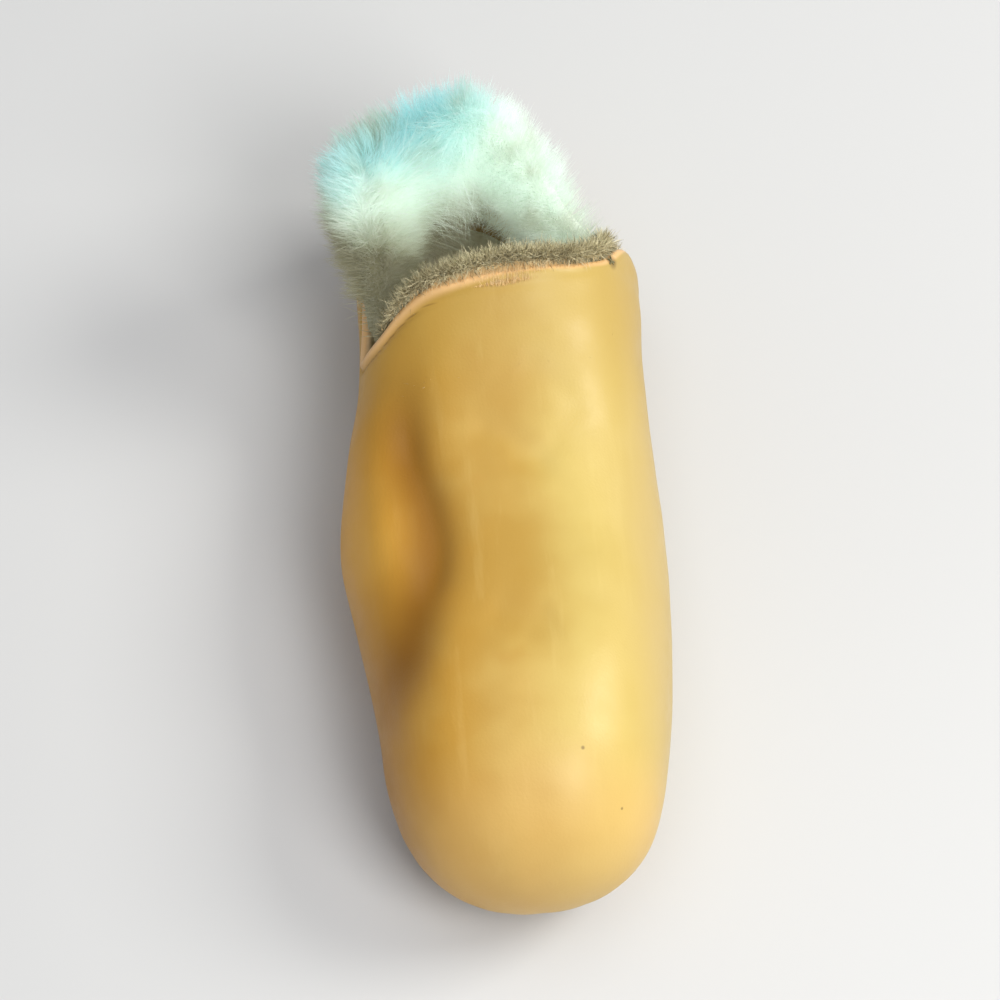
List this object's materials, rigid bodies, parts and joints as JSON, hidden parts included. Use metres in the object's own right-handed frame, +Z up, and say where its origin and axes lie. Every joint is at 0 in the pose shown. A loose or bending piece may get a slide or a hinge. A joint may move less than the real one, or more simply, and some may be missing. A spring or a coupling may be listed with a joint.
{
  "type": "baby moccasin",
  "caption": "Right baby moccasin: a puffy soft leather bag on a soft sole, a slanted throat, a deep wool lining that stands up round the heel, a wool insole and a drawcord under the toe.",
  "frame": {"origin": "centre of the bounding box at floor level, without the cord", "axes": "+Z up, +Y from the toe towards the heel, +X towards the inner side of the foot"},
  "size_m": [0.0516, 0.1279, 0.0502],
  "materials": {
    "leather": "smooth honey yellow, half gloss",
    "sole_leather": "matt suede",
    "insole_wool": "short grey-beige pile",
    "wool": "deep white wool with a pale aqua tint",
    "cord": "soft cream cord"
  },
  "bodies": {
    "root": {"upper": "leather", "sole": "sole_leather", "insole": "insole_wool", "wool_cuff": "wool", "draw_cord": "cord"}
  },
  "joints": []
}
